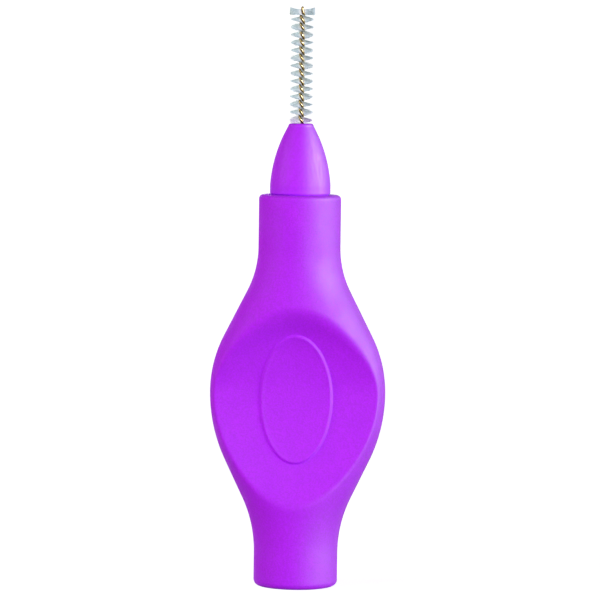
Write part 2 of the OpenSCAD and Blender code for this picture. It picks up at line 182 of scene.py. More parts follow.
class HandleShape:
    """Surface of the paddle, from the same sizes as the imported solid."""

    round_power = 2.0
    extra_power = 0.3
    swell_run_share = 0.3
    rim_pinch = 0.35
    bowl_power = 2.2
    steeper_power = 1.2
    crest_share = 0.08
    brow_crest_share = 0.22
    brow_focus = 1.5
    lip_place = 1.1
    lip_run = 0.2

    def __init__(self, settings):
        s = settings
        self.paddle_r = s.paddle_w / MM / 2
        self.collar_r = s.collar_d / MM / 2
        self.tail_r = s.tail_d / MM / 2
        self.tail_len = s.tail_len / MM
        self.swell = s.ridge_swell / MM
        self.upper = (s.upper_bulge_r / MM, s.upper_flank, s.neck_hollow_r / MM, self.collar_r)
        self.lower = (s.lower_bulge_r / MM, s.lower_flank, s.waist_hollow_r / MM, self.tail_r)
        self.widest_z = self.tail_len + self.side_length(self.lower)
        self.collar_z = self.widest_z + self.side_length(self.upper)
        self.rim_x = self.paddle_r - s.rim_margin / MM
        self.recess_up = s.recess_up / MM
        self.recess_down = s.recess_down / MM
        self.half_web = s.web_t / MM / 2
        self.medallion_half = (s.medallion_w / MM / 2, s.medallion_h / MM / 2)
        self.medallion_z = self.widest_z - s.medallion_drop / MM
        self.medallion_rise = s.medallion_rise / MM
        self.medallion_step = s.medallion_step / MM
        self.medallion_lip = s.medallion_lip / MM

    def flank_run(self, side):
        arc_r, turn, hollow_r, end_r = side
        width = self.paddle_r - end_r - (arc_r + hollow_r) * (1 - math.cos(turn))
        return width / math.tan(turn)

    def side_length(self, side):
        arc_r, turn, hollow_r, _ = side
        return (arc_r + hollow_r) * math.sin(turn) + self.flank_run(side)

    def side_width(self, d, side):
        """Half width at a distance from the widest part: arc, flank, hollow."""
        arc_r, turn, hollow_r, end_r = side
        arc_end = arc_r * math.sin(turn)
        flank_end = arc_end + self.flank_run(side)
        end_d = flank_end + hollow_r * math.sin(turn)
        bulge = self.paddle_r - arc_r + np.sqrt(np.maximum(arc_r ** 2 - d ** 2, 0))
        flank = self.paddle_r - arc_r * (1 - math.cos(turn)) - (d - arc_end) * math.tan(turn)
        hollow = end_r + hollow_r - np.sqrt(np.maximum(hollow_r ** 2 - (end_d - d) ** 2, 0))
        return np.select([d < arc_end, d < flank_end, d < end_d], [bulge, flank, hollow], end_r)

    def half_width(self, z):
        above = self.side_width(np.maximum(z - self.widest_z, 0), self.upper)
        below = self.side_width(np.maximum(self.widest_z - z, 0), self.lower)
        return np.where(z > self.widest_z, above, below)

    def paddle_share(self, z):
        return np.clip((z - self.tail_len) / (self.collar_z - self.tail_len), 0, 1)

    def swell_share(self, z):
        share = self.paddle_share(z)
        return smooth_step(np.minimum(1, np.minimum(share, 1 - share) / self.swell_run_share))

    def half_depth(self, z):
        ends = self.tail_r + (self.collar_r - self.tail_r) * self.paddle_share(z)
        return ends + self.swell * self.swell_share(z)

    def outer_depth(self, x, z):
        power = self.round_power + self.extra_power * self.swell_share(z)
        across = np.minimum(1, np.abs(x) / self.half_width(z))
        return self.half_depth(z) * np.maximum(0, 1 - across ** power) ** (1 / power)

    def rim_reach(self, x, z):
        """How far a place is from the recess centre: 1 on the rim."""
        half_h = np.where(z > self.widest_z, self.recess_up, self.recess_down)
        across, along = (x / self.rim_x) ** 2, ((z - self.widest_z) / half_h) ** 2
        total = np.maximum(across + along, TINY ** 2)
        return np.sqrt(total + self.rim_pinch * across * along / total)

    def bowl_depth(self, x, z):
        reach = np.maximum(self.rim_reach(x, z), TINY)
        rim_depth = self.outer_depth(x / reach, self.widest_z + (z - self.widest_z) / reach)
        steeper = self.steeper_power * (np.maximum(z - self.widest_z, 0) / self.recess_up) ** 2
        return self.half_web + (rim_depth - self.half_web) * reach ** (self.bowl_power + steeper)

    def front_depth(self, x, z):
        """Depth of the surface, with the recess blended in by a rounded crest."""
        outer = self.outer_depth(x, z)
        bowl = self.bowl_depth(x, z)
        reach = np.maximum(self.rim_reach(x, z), TINY)
        brow = (np.maximum(z - self.widest_z, 0) / (self.recess_up * reach)) ** self.brow_focus
        share = self.crest_share + self.brow_crest_share * brow
        blend = np.maximum(share * (outer + bowl) / 2, TINY)
        near = np.maximum(0, blend - np.abs(outer - bowl))
        return np.minimum(outer, bowl) - near * near / (4 * blend) + self.medallion_lift(x, z)

    def medallion_edge(self, x, z):
        """Signed distance inside the medallion's outline, roughly."""
        half_x, half_z = self.medallion_half
        u, v = x / half_x, (z - self.medallion_z) / half_z
        reach = np.maximum(np.sqrt(u * u + v * v), TINY)
        slope = np.sqrt((u / half_x) ** 2 + (v / half_z) ** 2) / reach
        return (1 - reach) / np.maximum(slope, TINY)

    def medallion_lift(self, x, z):
        edge = self.medallion_edge(x, z)
        t = np.clip(edge / self.medallion_step, 0, 1)
        past_lip = (edge - self.lip_place * self.medallion_step) / self.lip_run
        return self.medallion_rise * smooth_step(t) + self.medallion_lip * np.exp(-past_lip ** 2)


# Mesh helpers

def new_object(name, vertices, faces):
    """A smooth mesh object from points in millimetres."""
    mesh = bpy.data.meshes.new(name)
    mesh.from_pydata([tuple(v) for v in np.asarray(vertices) * MM], [], faces)
    mesh.validate()
    mesh.update()
    mesh.polygons.foreach_set("use_smooth", [True] * len(mesh.polygons))
    obj = bpy.data.objects.new(name, mesh)
    bpy.context.scene.collection.objects.link(obj)
    return obj


def ring_faces(rings, sides, first=0):
    """Quads between neighbouring rings of equal size, facing outwards."""
    faces = []
    for k in range(rings - 1):
        low = first + k * sides
        for i in range(sides):
            j = (i + 1) % sides
            faces.append((low + i, low + j, low + sides + j, low + sides + i))
    return faces


def turned_object(name, points, sides, low_z, high_z):
    """Closes a stack of rings round the axis with a fan of triangles at each end."""
    count = len(points)
    faces = ring_faces(count // sides, sides)
    for i in range(sides):
        j = (i + 1) % sides
        faces.append((count, j, i))
        faces.append((count + 1, count - sides + i, count - sides + j))
    return new_object(name, np.concatenate([points, [(0, 0, low_z), (0, 0, high_z)]]), faces)


def tube_points(centres, radii, start, quarter, sides):
    """Rings of points round a centre line, from the direction start towards the direction quarter."""
    turns = 2 * math.pi * np.arange(sides) / sides
    cosines, sines = np.cos(turns)[None, :, None], np.sin(turns)[None, :, None]
    ways = cosines * start[:, None, :] + sines * quarter[:, None, :]
    return (centres[:, None, :] + radii[:, None, None] * ways).reshape(-1, 3)


def tube_faces(rings, sides, first=0):
    """Faces of a tube with a flat cap at each end."""
    last = first + (rings - 1) * sides
    low_cap = tuple(first + i for i in reversed(range(sides)))
    high_cap = tuple(last + i for i in range(sides))
    return ring_faces(rings, sides, first) + [low_cap, high_cap]


def arc(centre, radius, start, end, steps):
    """Points of an arc of a profile, angles in degrees from the radius direction."""
    turns = np.radians(np.linspace(start, end, steps + 1))
    return [(centre[0] + radius * math.cos(t), centre[1] + radius * math.sin(t)) for t in turns]


def unit(v):
    return v / np.linalg.norm(v, axis=-1, keepdims=True)


def wrapped(turn):
    """The same direction of a filament, as an angle within a quarter turn of X."""
    return (turn + math.pi / 2) % math.pi - math.pi / 2


def finish_piece(obj, nodes, material):
    """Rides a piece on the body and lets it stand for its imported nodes."""
    obj.data.materials.append(material)
    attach(obj, BODY)
    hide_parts(*nodes)


# Materials

# Most of a noise's values lie between the first pair, and specks show between the second.
CLOUDS = (0.3, 0.7)
SPECKS = (0.38, 0.62)
# The sockets of a colour mix share their names, so they go by number.
MIX_FACTOR, MIX_FIRST, MIX_SECOND = 0, 6, 7


def mm(*lengths):
    """Lengths in metres, from millimetres."""
    return tuple(value * MM for value in lengths)


def scaled(rgb, factor):
    return tuple(min(1.0, c * factor) for c in rgb)


def seen_rays(tree):
    """An output that is one for camera, glossy and transmission rays, and zero for others."""
    path = tree.nodes.new("ShaderNodeLightPath")
    seen = path.outputs["Is Camera Ray"]
    for kind in ("Is Glossy Ray", "Is Transmission Ray"):
        total = tree.nodes.new("ShaderNodeMath")
        total.operation = 'ADD'
        total.use_clamp = True
        tree.links.new(seen, total.inputs[0])
        tree.links.new(path.outputs[kind], total.inputs[1])
        seen = total.outputs[0]
    return seen


class Nodes:
    """Short names for building one material's node tree."""

    def __init__(self, name):
        self.material = bpy.data.materials.new(name)
        self.material.use_nodes = True
        self.tree = self.material.node_tree
        self.tree.nodes.clear()
        self.output = self.add("ShaderNodeOutputMaterial")
        self.shader = self.add("ShaderNodeBsdfPrincipled")
        self.join(self.shader, "BSDF", self.output, "Surface")
        self.place = self.add("ShaderNodeTexCoord")

    def add(self, kind, **values):
        node = self.tree.nodes.new(kind)
        for key, value in values.items():
            setattr(node, key, value)
        return node

    def join(self, a, out, b, into):
        self.tree.links.new(a.outputs[out], b.inputs[into])

    def set(self, values):
        """Sets the shader's own sockets, where a value is the same all over."""
        for socket, value in values.items():
            self.shader.inputs[socket].default_value = value

    def noise(self, size_mm, detail, roughness, stretch=(1, 1, 1)):
        """Noise whose blotches are about size_mm across."""
        mapping = self.add("ShaderNodeMapping")
        mapping.inputs["Scale"].default_value = stretch
        self.join(self.place, "Object", mapping, "Vector")
        noise = self.add("ShaderNodeTexNoise")
        noise.inputs["Scale"].default_value = 1 / (size_mm * MM)
        noise.inputs["Detail"].default_value = detail
        noise.inputs["Roughness"].default_value = roughness
        self.join(mapping, "Vector", noise, "Vector")
        return noise

    def coordinates(self):
        """The object's own coordinates, one by one."""
        split = self.add("ShaderNodeSeparateXYZ")
        self.join(self.place, "Object", split, "Vector")
        return split

    def axis_distance(self):
        """Distance from the object's own Z axis."""
        split = self.coordinates()
        flat = self.add("ShaderNodeCombineXYZ")
        self.join(split, "X", flat, "X")
        self.join(split, "Y", flat, "Y")
        reach = self.add("ShaderNodeVectorMath", operation='LENGTH')
        self.join(flat, "Vector", reach, 0)
        return reach

    def fade(self, source, out, between, to=(0.0, 1.0)):
        """Turns the values between two limits into those between two others."""
        node = self.add("ShaderNodeMapRange")
        for socket, value in zip(("From Min", "From Max", "To Min", "To Max"), (*between, *to)):
            node.inputs[socket].default_value = value
        self.join(source, out, node, "Value")
        return node

    def combine(self, operation, a, b):
        """Sum or product of two faded values."""
        node = self.add("ShaderNodeMath", operation=operation)
        self.join(a, "Result", node, 0)
        self.join(b, "Result", node, 1)
        return node

    def mix(self, factor, a, b, out="Result"):
        """Colour mix. a and b are colours, or other mixes."""
        node = self.add("ShaderNodeMix", data_type='RGBA')
        self.join(factor, out, node, MIX_FACTOR)
        for socket, value in ((MIX_FIRST, a), (MIX_SECOND, b)):
            if isinstance(value, bpy.types.Node):
                self.join(value, "Result", node, socket)
            else:
                node.inputs[socket].default_value = (*value, 1.0)
        return node

    def blotches(self, noise, between, a, b, most=1.0):
        """Colour a, with colour b up to the share most where the noise is strong."""
        return self.mix(self.fade(noise, "Fac", between, (0.0, most)), a, b)

    def colour(self, mix):
        self.join(mix, "Result", self.shader, "Base Color")

    def roughness(self, noise, least, most):
        """Roughness that follows a noise."""
        self.join(self.fade(noise, "Fac", CLOUDS, (least, most)), "Result", self.shader, "Roughness")

    def relief(self, *layers):
        """Bumps one on another. A layer is a noise, its height in millimetres and its strength."""
        below = None
        for noise, height_mm, strength in layers:
            node = self.add("ShaderNodeBump")
            node.inputs["Distance"].default_value = height_mm * MM
            node.inputs["Strength"].default_value = strength
            self.join(noise, "Fac", node, "Height")
            if below:
                self.join(below, "Normal", node, "Normal")
            below = node
        self.join(below, "Normal", self.shader, "Normal")


def elastomer_material(base):
    """Satin soft-touch elastomer: cloudy colour, fine moulded grain, handled patches."""
    n = Nodes("satin_elastomer")
    cloud = n.noise(size_mm=3.0, detail=4.0, roughness=0.55)
    grain = n.noise(size_mm=0.2, detail=3.0, roughness=0.75)
    ripple = n.noise(size_mm=1.6, detail=2.0, roughness=0.4)
    body = n.blotches(cloud, CLOUDS, scaled(base, 1.02), scaled(base, 1.12))
    n.colour(n.blotches(grain, SPECKS, body, scaled(base, 0.88)))
    n.roughness(cloud, least=0.56, most=0.68)
    n.relief((grain, 0.04, 0.7), (ripple, 0.03, 0.5))
    n.set({"IOR": 1.46, "Specular IOR Level": 0.26, "Subsurface Weight": 0.12,
           "Subsurface Radius": (0.6, 0.1, 0.9), "Subsurface Scale": 1.0 * MM})
    return n.material


def plastic_material(base):
    """Hard moulded plastic of the nose: smoother, with faint draw lines along it."""
    n = Nodes("moulded_plastic")
    cloud = n.noise(size_mm=2.2, detail=3.0, roughness=0.5)
    speck = n.noise(size_mm=0.25, detail=2.0, roughness=0.6)
    draw = n.noise(size_mm=0.25, detail=2.0, roughness=0.5, stretch=(1, 1, 0.08))
    ripple = n.noise(size_mm=1.2, detail=2.0, roughness=0.4)
    body = n.blotches(cloud, CLOUDS, scaled(base, 0.97), scaled(base, 1.07))
    n.colour(n.blotches(speck, SPECKS, body, scaled(base, 0.93)))
    n.roughness(draw, least=0.54, most=0.64)
    n.relief((draw, 0.01, 0.6), (ripple, 0.02, 0.4))
    n.set({"IOR": 1.49, "Specular IOR Level": 0.26})
    return n.material


def wire_material(gold, painted_shade, pair_r):
    """Gold-coloured drawn wire, with painted shade and dark reflections on its underside, on its side
    towards -X and between the legs.
    """
    # Painted shade and dark reflections: the wire is darker near its axis, between the legs, and where
    # its surface faces down and towards -X, away from the light.
    crevice_shade_run = mm(0.55 * pair_r, 0.9 * pair_r)
    painted_light_side, painted_shade_run = (0.6, 0.0, 0.8), (-0.4, 0.35)
    stains = (0.35, 0.75)
    n = Nodes("gold_wire")
    stain = n.noise(size_mm=0.25, detail=3.0, roughness=0.6)
    scratch = n.noise(size_mm=0.03, detail=2.0, roughness=0.5)
    outer = n.fade(n.axis_distance(), "Value", crevice_shade_run)
    facing = n.add("ShaderNodeVectorMath", operation='DOT_PRODUCT')
    n.join(n.place, "Normal", facing, 0)
    facing.inputs[1].default_value = painted_light_side
    lit_share = n.combine('MULTIPLY', outer, n.fade(facing, "Value", painted_shade_run))
    stained = n.blotches(stain, stains, gold, scaled(gold, 0.72), most=0.4)
    n.colour(n.mix(lit_share, painted_shade, stained, out="Value"))
    n.roughness(stain, least=0.14, most=0.26)
    n.relief((scratch, 0.0015, 0.4))
    n.set({"Metallic": 1.0, "Specular Tint": (0.6, 0.36, 0.13, 1.0)})
    return n.material


def nylon_material(nylon, painted_nose_glow):
    """Clear nylon filament, denser near the wire, with painted light whitening it there and the nose's
    purple reflection painted on near the nose's mouth.
    """
    core_light_run, crowd, cut_tips = mm(0.25, 0.45), mm(0.3, 0.8), mm(0.9, 1.12)
    mouth = mm(NOSE_TOP, NOSE_TOP + 1.0)
    # Painted light: the filaments near the wire are made whiter to lift the shade among them.
    painted_core_light = (0.97, 0.98, 0.97)
    n = Nodes("clear_nylon")
    cloud = n.noise(size_mm=0.3, detail=2.0, roughness=0.5)
    reach = n.axis_distance()
    body = n.blotches(cloud, CLOUDS, scaled(nylon, 0.92), scaled(nylon, 1.08))
    # Painted reflection: the filaments take on the nose's purple towards its mouth.
    near_mouth = n.fade(n.coordinates(), "Z", mouth, (0.7, 0.0))
    nose_glow_mix = n.mix(near_mouth, body, painted_nose_glow)
    core_light_share = n.fade(reach, "Value", core_light_run, (1.0, 0.0))
    n.colour(n.mix(core_light_share, nose_glow_mix, painted_core_light))
    n.roughness(cloud, least=0.25, most=0.4)
    packed = n.fade(reach, "Value", crowd, (0.9, 0.58))
    cut_end = n.fade(reach, "Value", cut_tips, (0.0, 0.4))
    n.join(n.combine('ADD', packed, cut_end), "Value", n.shader, "Alpha")
    n.join(n.fade(reach, "Value", crowd, (0.0, 0.25)), "Result", n.shader, "Transmission Weight")
    n.set({"IOR": 1.53})
    return n.material


# Pieces, with their fine sizes in millimetres

class BRUSH_OT_handle(bpy.types.Operator):
    """Builds the soft handle as one moulding with its two recesses and medallions"""
    bl_idname = "brush.handle"
    bl_label = "Soft handle"

    ring_sides = 288
    paddle_steps = 170
    edge_steps = 12
    foot_shares = (0.25, 0.5, 0.75, 0.97)
    tail_shares = (0.1, 0.3, 0.5, 0.7, 0.9)
    collar_shares = (0.1, 0.3, 0.5, 0.7, 0.9, 0.98)
    lip_r = 0.08
    lip_steps = 6
    lip_land = 0.1
    spare = 0.02
    seam_lines = (0.2, 0.45, 0.7)
    parting_rise = 0.012
    parting_w = 0.07
    parting_z = (0.3, HANDLE_TOP - 0.2)
    outside_r = 4.0
    flank_x = 1.0
    refine_reaches = (0.6, 0.3)
    medallion_margin = 1.0
    web_margin = 0.3

    def ring_turns(self):
        """Angles round a section, with extra ones beside the parting line."""
        step = 2 * math.pi / self.ring_sides
        turns = list(step * np.arange(self.ring_sides))
        for side in (0.0, math.pi):
            for line in self.seam_lines:
                turns += [side + line * step, side - line * step + (2 * math.pi if side == 0 else 0)]
        return np.array(sorted(turns))

    def round_ring(self, turns, r, z):
        return np.stack([r * np.cos(turns), r * np.sin(turns), np.full_like(turns, z)], axis=1)

    def paddle_ring(self, shape, turns, z):
        sines = np.sin(turns)
        x = shape.half_width(np.array(z)) * np.cos(turns)
        zs = np.full_like(x, z)
        y = np.sign(sines) * np.minimum(shape.front_depth(x, zs), HANDLE_BACK)
        y[np.abs(sines) < TINY] = 0
        return np.stack([x, y, zs], axis=1)

    def parting_line(self, ring):
        """Pulls an outer section in by a hair, except on the raised parting line."""
        r, _, z = ring[0]
        low, high = self.parting_z
        if not low < z < high or r <= self.outside_r:
            return ring
        reach = np.abs(ring[:, 0])
        rise = np.exp(-(ring[:, 1] / self.parting_w) ** 2)
        pull = self.parting_rise * (1 - rise) / np.maximum(reach, self.flank_x)
        ring[:, 0] = np.where(reach > self.flank_x, ring[:, 0] * (1 - pull), ring[:, 0])
        return ring

    def shell_profile(self, settings, nose, shape):
        """Round parts of the handle: foot and tail below, collar, lip and cavity above."""
        foot_r = settings.foot_edge_r / MM
        edge_r = settings.collar_edge_r / MM
        seat_r = nose.seat_d / MM / 2 + self.spare
        shank_r = nose.shank_d / MM / 2 + self.spare
        seat_z = HANDLE_TOP - nose.seat_depth / MM - self.spare
        cavity_z = NOSE_BOTTOM - self.spare
        flat_r = shape.tail_r - foot_r
        tail_run = shape.tail_len - foot_r
        collar_run = HANDLE_TOP - edge_r - shape.collar_z
        below = [(share * flat_r, 0) for share in self.foot_shares]
        below += arc((flat_r, foot_r), foot_r, -90, 0, self.edge_steps)
        below += [(shape.tail_r, foot_r + share * tail_run) for share in self.tail_shares]
        above = [(shape.collar_r, shape.collar_z + share * collar_run) for share in self.collar_shares]
        above += arc((shape.collar_r - edge_r, HANDLE_TOP - edge_r), edge_r, 0, 90, self.edge_steps)
        above += [(seat_r + self.lip_r + self.lip_land, HANDLE_TOP)]
        above += arc((seat_r + self.lip_r, HANDLE_TOP - self.lip_r), self.lip_r, 90, 180, self.lip_steps)
        above += [(seat_r, seat_z), (shank_r, seat_z), (shank_r, cavity_z)]
        return below, above

    def build(self, settings, nose, shape):
        turns = self.ring_turns()
        below, above = self.shell_profile(settings, nose, shape)
        steps = self.paddle_steps
        paddle_len = shape.collar_z - shape.tail_len
        zs = shape.tail_len + paddle_len * np.arange(steps + 1) / steps
        rings = [self.round_ring(turns, r, z) for r, z in below]
        rings += [self.paddle_ring(shape, turns, z) for z in zs]
        rings += [self.round_ring(turns, r, z) for r, z in above]
        points = np.concatenate([self.parting_line(ring) for ring in rings])
        return turned_object("soft_handle", points, len(turns), 0, above[-1][1])

    def near_medallion(self, points, shape):
        """Which points lie on the two faces round the medallions."""
        half_x, half_z = shape.medallion_half
        in_front = np.abs(points[:, 1]) > shape.half_web - self.web_margin
        across = np.abs(points[:, 0]) < half_x + self.medallion_margin
        along = np.abs(points[:, 2] - shape.medallion_z) < half_z + self.medallion_margin
        return in_front & across & along

    def refine(self, mesh, shape):
        """Splits the faces along the medallions' edges and sets them on the true surface."""
        bm = bmesh.new()
        bm.from_mesh(mesh)
        for reach in self.refine_reaches:
            middles = np.array([face.calc_center_median() for face in bm.faces]) / MM
            edge = shape.medallion_edge(middles[:, 0], middles[:, 2])
            near_edge = (edge > -reach) & (edge < shape.medallion_step + reach)
            picked = self.near_medallion(middles, shape) & near_edge
            bm.faces.ensure_lookup_table()
            edges = {e for k in np.flatnonzero(picked) for e in bm.faces[k].edges}
            bmesh.ops.subdivide_edges(bm, edges=list(edges), cuts=1, use_grid_fill=True)
        bm.to_mesh(mesh)
        bm.free()
        points = np.empty(3 * len(mesh.vertices))
        mesh.vertices.foreach_get("co", points)
        points = points.reshape(-1, 3) / MM
        moved = self.near_medallion(points, shape)
        depth = shape.front_depth(points[moved, 0], points[moved, 2])
        points[moved, 1] = np.sign(points[moved, 1]) * depth
        mesh.vertices.foreach_set("co", (points * MM).ravel())
        mesh.polygons.foreach_set("use_smooth", [True] * len(mesh.polygons))
        mesh.update()

    def execute(self, context):
        settings = context.scene.brush_handle
        nose = context.scene.brush_nose
        shape = HandleShape(settings)
        obj = self.build(settings, nose, shape)
        self.refine(obj.data, shape)
        finish_piece(obj, ["grip_handle"], elastomer_material(settings.elastomer))
        return {'FINISHED'}


class BRUSH_OT_nose(bpy.types.Operator):
    """Builds the hard bullet nose with its mouth, root and buried shank"""
    bl_idname = "brush.nose"
    bl_label = "Nose"

    sides = 192
    land_edge_r = 0.04
    land_shares = (0.2, 0.5, 0.8)
    land_steps, side_steps, mouth_steps = 4, 60, 8
    relief_ease = 0.01
    mouth_turn = 20
    mouth_land = 0.1
    bore_r = 0.31
    bore_len = 9.0
    # The bore's rounded entry, each as its distance outside the bore and below the mouth.
    bore_entry = ((0.2, 0.01), (0.08, 0.04), (0, 0.12))

    def execute(self, context):
        nose = context.scene.brush_nose
        land_r = nose.land_d / MM / 2
        seat_r = nose.seat_d / MM / 2
        shank_r = nose.shank_d / MM / 2
        ogive_r = nose.ogive_r / MM
        edge_r = nose.mouth_edge_r / MM
        land_len = nose.land_len / MM
        relief = nose.root_relief / MM
        land_z = HANDLE_TOP + relief
        seat_z = HANDLE_TOP - nose.seat_depth / MM
        start = math.asin(land_len / ogive_r)
        ogive_x = land_r - ogive_r * math.cos(start)
        end = math.asin((NOSE_TOP - edge_r - HANDLE_TOP) / ogive_r)
        land_edge = (land_r - self.land_edge_r, land_z + self.land_edge_r)
        profile = [(shank_r, NOSE_BOTTOM), (shank_r, seat_z), (seat_r, seat_z),
                   (seat_r, land_z - self.relief_ease), (seat_r + self.relief_ease, land_z)]
        profile += arc(land_edge, self.land_edge_r, -90, 0, self.land_steps)
        profile += [(land_r, land_z + share * (land_len - relief)) for share in self.land_shares]
        profile += arc((ogive_x, HANDLE_TOP), ogive_r, math.degrees(start), math.degrees(end),
                       self.side_steps)
        mouth_r = profile[-1][0] - edge_r
        profile += arc((mouth_r, NOSE_TOP - edge_r), edge_r, self.mouth_turn, 90, self.mouth_steps)
        profile += [(mouth_r - self.mouth_land, NOSE_TOP)]
        profile += [(self.bore_r + out, NOSE_TOP - down) for out, down in self.bore_entry]
        profile += [(self.bore_r, NOSE_TOP - self.bore_len)]
        turns = 2 * math.pi * np.arange(self.sides) / self.sides
        points = [(r * math.cos(t), r * math.sin(t), z) for r, z in profile for t in turns]
        obj = turned_object("bullet_nose", points, self.sides, NOSE_BOTTOM, NOSE_TOP - self.bore_len)
        finish_piece(obj, ["nose_cone"], plastic_material(nose.plastic))
        return {'FINISHED'}


class WireShape:
    """Centre lines of the twisted pair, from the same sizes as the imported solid."""

    tip_fan_share = 0.655

    def __init__(self, wire):
        self.wire_d = wire.wire_d / MM
        self.leg_r = (wire.wire_d + wire.leg_gap) / MM / 2
        self.pitch = wire.pitch / MM
        self.fan_pitch = self.pitch / 2
        self.fade_len = wire.fade_len / MM
        self.crook_r = wire.crook_r / MM
        self.stem_bottom = NOSE_TOP - wire.stem_depth / MM
        self.crook_arc = self.crook_r * math.pi / 2
        self.bottom = self.stem_bottom - self.crook_arc - wire.crook_len / MM
        self.bight_z = WIRE_TOP - self.wire_d / 2 - self.leg_r
        self.tip_fan_z = WIRE_TOP - self.fan_pitch * self.tip_fan_share
        self.fade_z = self.tip_fan_z - self.fan_pitch / 2

    def filament_angle(self, s):
        """Direction of the filaments at a height, in radians. The lay is left-handed."""
        past = np.clip(s - self.fade_z, 0, self.fade_len)
        run = np.minimum(s, self.fade_z) - self.tip_fan_z + past - past ** 2 / (2 * self.fade_len)
        return -math.pi * run / self.fan_pitch

    def stem(self, s):
        """Centre of the pair and its sideways direction at a place along it."""
        turn = np.clip((self.stem_bottom - s) / self.crook_r, 0, math.pi / 2)
        past = np.maximum(0, self.stem_bottom - self.crook_arc - s)
        x = self.crook_r * (1 - np.cos(turn)) + past * np.sin(turn)
        z = np.maximum(s, self.stem_bottom) - self.crook_r * np.sin(turn) - past * np.cos(turn)
        centre = np.stack([x, np.zeros_like(x), z], axis=-1)
        side = np.stack([np.cos(turn), np.zeros_like(x), np.sin(turn)], axis=-1)
        return centre, side

    def leg(self, s, offset):
        """Centre line of one leg and its outward direction."""
        centre, side = self.stem(s)
        turn = (self.filament_angle(s) + offset)[..., None]
        out = np.cos(turn) * side + np.sin(turn) * np.array([0.0, 1.0, 0.0])
        return centre + self.leg_r * out, out


class BRUSH_OT_wire(bpy.types.Operator):
    """Builds the wire: a hairpin whose two legs are twisted together"""
    bl_idname = "brush.wire"
    bl_label = "Twisted wire"

    sides = 20
    steps_per_turn = 44
    bight_steps = 16
    probe = 0.005

    def leg(self, shape, s, offset, way):
        """Centres, tangents and outward directions of one leg, run up (1) or down (-1)."""
        centres, outs = shape.leg(s, offset)
        ahead, _ = shape.leg(s + self.probe, offset)
        behind, _ = shape.leg(s - self.probe, offset)
        tangents = way * unit(ahead - behind)
        return centres[::way], tangents[::way], outs[::way]

    def bight(self, shape):
        """The same for the half circle that joins the legs at the tip."""
        turns = math.pi * np.arange(self.bight_steps + 1) / self.bight_steps
        _, out = shape.leg(np.array([shape.bight_z]), math.pi / 2)
        up = np.array([0.0, 0.0, 1.0])
        away = np.cos(turns)[:, None] * out + np.sin(turns)[:, None] * up
        along = np.cos(turns)[:, None] * up - np.sin(turns)[:, None] * out
        middle = np.array([0.0, 0.0, shape.bight_z])
        return middle + shape.leg_r * away, along, away

    def execute(self, context):
        wire = context.scene.brush_wire
        shape = WireShape(wire)
        run = shape.bight_z - shape.bottom
        steps = int(run / (shape.pitch / self.steps_per_turn))
        s = shape.bottom + run * np.arange(steps) / steps
        parts = (self.leg(shape, s, math.pi / 2, 1), self.bight(shape),
                 self.leg(shape, s, 3 * math.pi / 2, -1))
        centres, tangents, outs = (np.concatenate([part[k] for part in parts]) for k in range(3))
        side = unit(np.cross(tangents, outs))
        up = np.cross(side, tangents)
        radii = np.full(len(centres), shape.wire_d / 2)
        points = tube_points(centres, radii, up, side, self.sides)
        obj = new_object("gold_wire", points, tube_faces(len(centres), self.sides))
        pair_r = shape.leg_r + shape.wire_d / 2
        finish_piece(obj, ["twisted_wire"], wire_material(wire.gold, wire.painted_shade, pair_r))
        return {'FINISHED'}


def fan_name(node):
    """Name of the piece that stands for a packed fan."""
    return "nylon_" + node[-len("fan_01"):]


